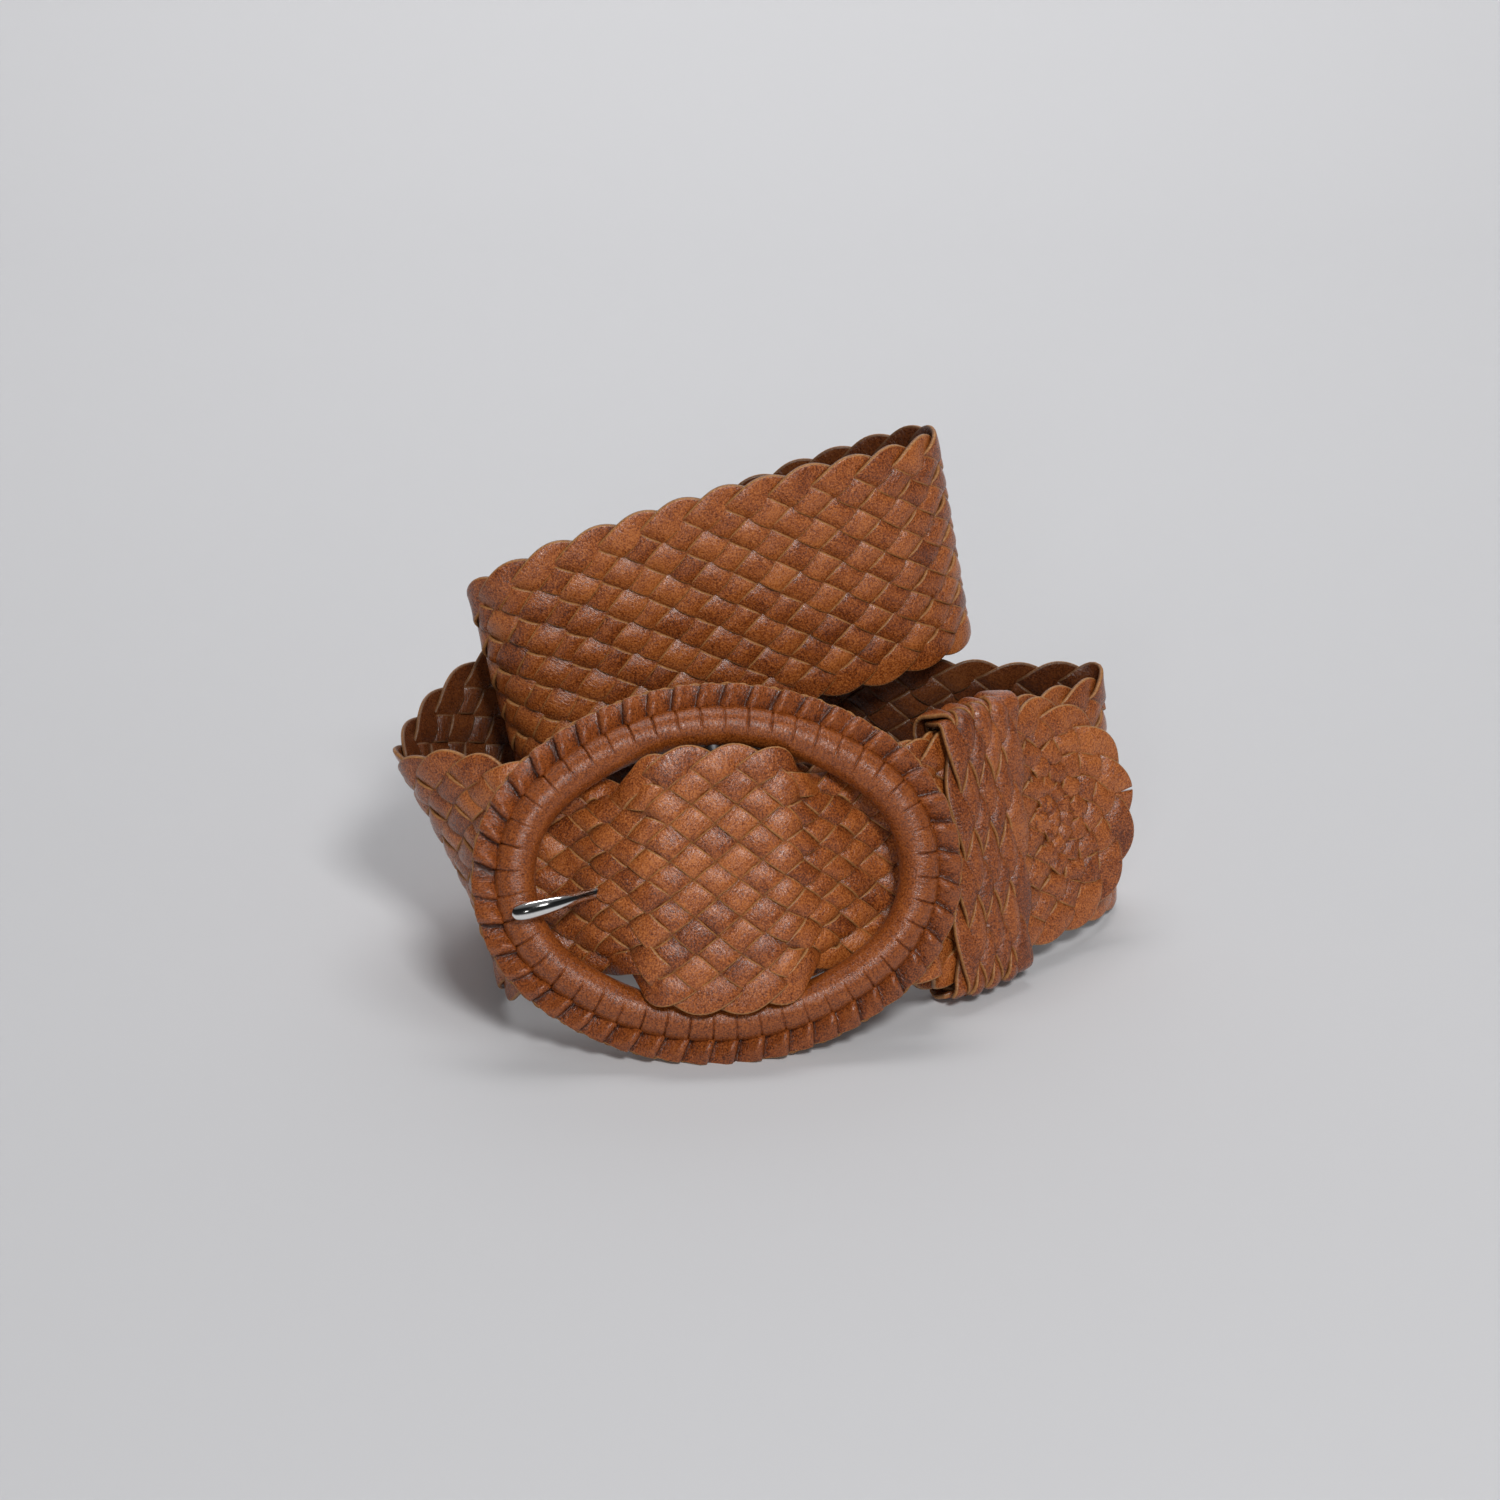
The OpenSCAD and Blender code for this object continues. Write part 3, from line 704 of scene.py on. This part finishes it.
MADE = {}
LEATHERS = {
    # dark, middle and light colour, roughness
    "braid": (srgb(88, 37, 11), srgb(149, 76, 29), srgb(190, 112, 54), 0.34),
    "keeper": (srgb(82, 35, 11), srgb(139, 69, 27), srgb(180, 104, 50), 0.34),
    "wrap": (srgb(86, 38, 11), srgb(138, 69, 24), srgb(168, 94, 40), 0.36),
    "frill": (srgb(74, 32, 10), srgb(136, 67, 24), srgb(168, 94, 42), 0.36),
    "leaf": (srgb(110, 62, 34), srgb(150, 92, 54), srgb(178, 124, 80), 0.7),
}


def fill_ramp(node, stops):
    """Sets the stops of a colour ramp, each a place and a colour."""
    ramp = node.color_ramp
    ramp.elements[0].position, ramp.elements[0].color = stops[0]
    ramp.elements[1].position, ramp.elements[1].color = stops[-1]
    for place, colour in stops[1:-1]:
        ramp.elements.new(place).color = colour


def leather(name, kind):
    """Grained leather with raw edges where cut is 1, and darker where under is 1: the underside as flesh
    side with painted shade, and painted shade where a lace dives.
    """
    if name in MADE:
        return MADE[name]
    dark, middle, light, rough = LEATHERS[kind]
    mat = bpy.data.materials.new("leather_" + name)
    mat.use_nodes = True
    nt = mat.node_tree
    nt.nodes.clear()
    new, link = nt.nodes.new, nt.links.new

    def math_node(op, a, b=None, clamp=False):
        n = new("ShaderNodeMath")
        n.operation, n.use_clamp = op, clamp
        for i, x in enumerate((a, b)):
            if x is None:
                continue
            if isinstance(x, (int, float)):
                n.inputs[i].default_value = x
            else:
                link(x, n.inputs[i])
        return n.outputs[0]

    def attribute(key, out="Fac"):
        n = new("ShaderNodeAttribute")
        n.attribute_name = key
        return n.outputs[out]

    def noise(vector, scale, detail, rough_, dist=0.0):
        n = new("ShaderNodeTexNoise")
        n.inputs["Scale"].default_value = scale
        n.inputs["Detail"].default_value = detail
        n.inputs["Roughness"].default_value = rough_
        n.inputs["Distortion"].default_value = dist
        link(vector, n.inputs["Vector"])
        return n.outputs["Fac"]

    def ramp(fac, stops):
        n = new("ShaderNodeValToRGB")
        fill_ramp(n, stops)
        link(fac, n.inputs[0])
        return n.outputs[0]

    def mix(fac, a, b, kind_="MIX"):
        n = new("ShaderNodeMix")
        n.data_type, n.blend_type = "RGBA", kind_
        if isinstance(fac, (int, float)):
            n.inputs[0].default_value = fac
        else:
            link(fac, n.inputs[0])
        for i, x in ((6, a), (7, b)):
            if isinstance(x, tuple):
                n.inputs[i].default_value = x
            else:
                link(x, n.inputs[i])
        return n.outputs[2]

    coords = new("ShaderNodeTexCoord").outputs["Object"]
    lay = attribute("lay", "Vector")
    stretch = new("ShaderNodeMapping")
    stretch.inputs["Scale"].default_value = (1.0, 0.28, 1.0)
    link(lay, stretch.inputs["Vector"])
    tone = attribute("tone")
    cut = attribute("cut")
    grain = noise(coords, 2400, 2, 0.6)
    patch = noise(coords, 130, 4, 0.6)
    blotch = noise(coords, 420, 3, 0.6)
    crease = noise(stretch.outputs[0], 1.5, 5, 0.62, 0.6)
    # colour: mostly the fine grain, with slow patches, blotches and each lace's own tone; on the ring's
    # cover and frill the tone also holds painted shade in the slits and creases
    mixed = math_node("ADD", math_node("MULTIPLY", grain, 0.95), math_node("MULTIPLY", patch, 0.18))
    mixed = math_node("ADD", mixed, math_node("MULTIPLY", blotch, 0.16))
    mixed = math_node("SUBTRACT", mixed, 0.09)
    mixed = math_node("ADD", mixed, math_node("MULTIPLY", math_node("SUBTRACT", tone, 0.5), 0.2))
    colour = ramp(mixed, [(0.39, dark), (0.56, middle), (0.74, light)])
    # raw cut edges, with fibres
    fibre = noise(lay, 3.2, 4, 0.7)
    raw = ramp(fibre, [(0.25, srgb(112, 66, 30)), (0.55, srgb(168, 114, 62)), (0.8, srgb(200, 150, 92))])
    edge_fac = math_node("MULTIPLY", cut, math_node("ADD", 0.45, fibre), True)
    edge_fac = ramp(edge_fac, [(0.38, (0, 0, 0, 1)), (0.62, (1, 1, 1, 1))])
    colour = mix(edge_fac, colour, raw)
    # darker where under is set: the underside (flesh side, partly painted shade) and painted shade where a
    # lace dives
    colour = mix(math_node("MULTIPLY", attribute("under"), 0.72), colour, srgb(52, 27, 15))
    # height: pebbled grain, creases and pores
    cells = new("ShaderNodeTexVoronoi")
    cells.inputs["Scale"].default_value = 1900
    link(coords, cells.inputs["Vector"])
    pebbles = math_node("MULTIPLY", cells.outputs["Distance"], 0.35)
    height = math_node("ADD", math_node("MULTIPLY", grain, 0.5), pebbles)
    bump = new("ShaderNodeBump")
    bump.inputs["Strength"].default_value = 0.55
    bump.inputs["Distance"].default_value = 0.00012
    link(height, bump.inputs["Height"])
    creased = new("ShaderNodeBump")
    creased.inputs["Strength"].default_value = 0.8
    creased.inputs["Distance"].default_value = 0.00035
    link(crease, creased.inputs["Height"])
    link(bump.outputs[0], creased.inputs["Normal"])
    # raw edges are duller than the skin
    gloss = math_node("ADD", rough - 0.2, math_node("MULTIPLY", blotch, 0.2))
    gloss = math_node("ADD", gloss, math_node("MULTIPLY", grain, 0.1))
    gloss = math_node("ADD", gloss, math_node("MULTIPLY", edge_fac, 0.3), True)
    shader = new("ShaderNodeBsdfPrincipled")
    link(colour, shader.inputs["Base Color"])
    link(gloss, shader.inputs["Roughness"])
    link(creased.outputs[0], shader.inputs["Normal"])
    shader.inputs["Specular IOR Level"].default_value = 0.36
    shader.inputs["Coat Weight"].default_value = 0.3
    shader.inputs["Coat Roughness"].default_value = 0.18
    link(creased.outputs[0], shader.inputs["Coat Normal"])
    out = new("ShaderNodeOutputMaterial")
    link(shader.outputs[0], out.inputs[0])
    MADE[name] = mat
    return mat


def metal(name, colour, rough, scratch):
    """Bare metal with a fine, uneven finish."""
    if name in MADE:
        return MADE[name]
    mat = bpy.data.materials.new(name)
    mat.use_nodes = True
    nt = mat.node_tree
    shader = nt.nodes["Principled BSDF"]
    shader.inputs["Metallic"].default_value = 1.0
    coords = nt.nodes.new("ShaderNodeTexCoord")
    n = nt.nodes.new("ShaderNodeTexNoise")
    n.inputs["Scale"].default_value = 700
    n.inputs["Detail"].default_value = 4
    nt.links.new(coords.outputs["Object"], n.inputs["Vector"])
    tint = nt.nodes.new("ShaderNodeValToRGB")
    fill_ramp(tint, [(0.0, tuple(c * 0.86 for c in colour[:3]) + (1,)), (1.0, colour)])
    nt.links.new(n.outputs["Fac"], tint.inputs[0])
    nt.links.new(tint.outputs[0], shader.inputs["Base Color"])
    level = nt.nodes.new("ShaderNodeMath")
    level.operation = "MULTIPLY_ADD"
    level.inputs[1].default_value = 0.08
    level.inputs[2].default_value = rough
    nt.links.new(n.outputs["Fac"], level.inputs[0])
    nt.links.new(level.outputs[0], shader.inputs["Roughness"])
    bump = nt.nodes.new("ShaderNodeBump")
    bump.inputs["Strength"].default_value = scratch
    bump.inputs["Distance"].default_value = 0.00005
    nt.links.new(n.outputs["Fac"], bump.inputs["Height"])
    nt.links.new(bump.outputs[0], shader.inputs["Normal"])
    MADE[name] = mat
    return mat


def chrome():
    """Polished metal with a painted reflection of a dark room with one bright window, in bands set by which
    way the surface faces.
    """
    if "polished_chrome" in MADE:
        return MADE["polished_chrome"]
    mat = metal("polished_chrome", (0.8, 0.79, 0.77, 1), 0.09, 0.04)
    nt = mat.node_tree
    shader = nt.nodes["Principled BSDF"]
    facing = nt.nodes.new("ShaderNodeNewGeometry")
    split = nt.nodes.new("ShaderNodeSeparateXYZ")
    nt.links.new(facing.outputs["Normal"], split.inputs[0])
    painted_reflection_bands = nt.nodes.new("ShaderNodeValToRGB")
    # place and grey of each band of the painted reflection, the ones between the ends a little warm
    first, last = (0.0, 0.5), (1.0, 0.9)
    between = [(0.3, 0.6), (0.38, 0.9), (0.55, 0.85), (0.66, 0.1), (0.82, 0.05), (0.9, 0.8)]
    stops = [(place, (grey, grey * 0.99, grey * 0.97, 1)) for place, grey in between]
    stops.insert(0, (first[0], (first[1],) * 3 + (1,)))
    stops.append((last[0], (last[1],) * 3 + (1,)))
    fill_ramp(painted_reflection_bands, stops)
    scaled = nt.nodes.new("ShaderNodeMath")
    scaled.operation = "MULTIPLY_ADD"
    scaled.inputs[1].default_value, scaled.inputs[2].default_value = 0.5, 0.5
    nt.links.new(split.outputs[2], scaled.inputs[0])
    nt.links.new(scaled.outputs[0], painted_reflection_bands.inputs[0])
    nt.links.new(painted_reflection_bands.outputs[0], shader.inputs["Base Color"])
    return mat


def dress_frame_nodes():
    """Finish on the CAD nodes that stay shown; the bar and ring core are made dark as painted shade."""
    # painted shade: the steel is made dark so the bar's visible end reads as the dark gap in shadow
    shade_dark_steel = metal("steel_dark_as_painted_shade", (0.16, 0.15, 0.15, 1), 0.42, 0.3)
    for key in ("bar", "ring_core"):
        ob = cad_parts[key]
        ob.data.materials.clear()
        ob.data.materials.append(shade_dark_steel)
    thread = bpy.data.materials.new("waxed_thread")
    thread.use_nodes = True
    nt = thread.node_tree
    shader = nt.nodes["Principled BSDF"]
    n = nt.nodes.new("ShaderNodeTexNoise")
    n.inputs["Scale"].default_value = 1500
    coords = nt.nodes.new("ShaderNodeTexCoord")
    nt.links.new(coords.outputs["Object"], n.inputs["Vector"])
    tint = nt.nodes.new("ShaderNodeValToRGB")
    fill_ramp(tint, [(0.0, srgb(150, 106, 66)), (1.0, srgb(206, 170, 126))])
    nt.links.new(n.outputs["Fac"], tint.inputs[0])
    nt.links.new(tint.outputs[0], shader.inputs["Base Color"])
    bump = nt.nodes.new("ShaderNodeBump")
    bump.inputs["Strength"].default_value = 0.5
    bump.inputs["Distance"].default_value = 0.0002
    nt.links.new(n.outputs["Fac"], bump.inputs["Height"])
    nt.links.new(bump.outputs[0], shader.inputs["Normal"])
    shader.inputs["Roughness"].default_value = 0.6
    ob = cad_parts["fold_stitching"]
    ob.data.materials.clear()
    ob.data.materials.append(thread)


# ---------------------------------------------------------------- stage, light and camera
def build_stage():
    """A pale floor that sweeps up into the backdrop."""
    width, near, far, bend, high = 3.0, -1.6, 1.1, 0.5, 2.2
    profile = [(near, 0.0)]
    for i in range(25):
        a = math.pi / 2 * i / 24
        profile.append((far - bend + bend * math.sin(a), bend - bend * math.cos(a)))
    profile.append((far, high))
    verts = [(x, y, z) for y, z in profile for x in (-width, width)]
    faces = [(2 * i, 2 * i + 1, 2 * i + 3, 2 * i + 2) for i in range(len(profile) - 1)]
    me = bpy.data.meshes.new("backdrop")
    me.from_pydata(verts, [], faces)
    me.polygons.foreach_set("use_smooth", [True] * len(faces))
    ob = bpy.data.objects.new("backdrop", me)
    bpy.context.scene.collection.objects.link(ob)
    mat = bpy.data.materials.new("pale_paper")
    mat.use_nodes = True
    shader = mat.node_tree.nodes["Principled BSDF"]
    shader.inputs["Base Color"].default_value = srgb(206, 206, 208)
    shader.inputs["Roughness"].default_value = 0.75
    shader.inputs["Specular IOR Level"].default_value = 0.2
    me.materials.append(mat)
    lights = [
        # name, place, aim, size, power
        ("key", (0.32, -0.95, 1.08), (0, 0.0, 0.05), 0.3, 11.6),
        ("glint", (-0.15, -1.25, 0.5), (0, 0, 0.06), 0.16, 1.8),
        ("wash", (0.0, 0.5, 1.35), (0, 1.1, 0.75), 0.8, 12.2),
    ]
    for name, place, aim, size, power in lights:
        data = bpy.data.lights.new(name, "AREA")
        data.size, data.energy, data.shape = size, power, "SQUARE"
        lamp = bpy.data.objects.new(name, data)
        lamp.location = place
        d = np.array(aim) - np.array(place)
        lamp.rotation_euler = mathutils.Vector(d).to_track_quat("-Z", "Y").to_euler()
        bpy.context.scene.collection.objects.link(lamp)
    world = bpy.data.worlds.new("soft_room")
    world.use_nodes = True
    background = world.node_tree.nodes["Background"]
    background.inputs["Color"].default_value = (0.97, 0.98, 1.0, 1)
    background.inputs["Strength"].default_value = 0.175
    bpy.context.scene.world = world
    bpy.context.scene.view_settings.view_transform = "Standard"


CAMERA_TILT = 25.0
CAMERA_LENS = 88.5
CAMERA_PLACE = (7.3, -783.4, 449.6)


def build_camera():
    """Looks down at the belt from the front."""
    data = bpy.data.cameras.new("camera")
    data.lens, data.sensor_width = CAMERA_LENS, 36.0
    ob = bpy.data.objects.new("camera", data)
    ob.location = tuple((np.array(CAMERA_PLACE) + MID) * MM)
    ob.rotation_euler = (math.radians(90 - CAMERA_TILT), 0, 0)
    bpy.context.scene.collection.objects.link(ob)
    bpy.context.scene.camera = ob


build_strap()
build_ring_cover()
build_frill()
build_leaf()
build_prong()
build_keeper()
dress_frame_nodes()
build_stage()
build_camera()
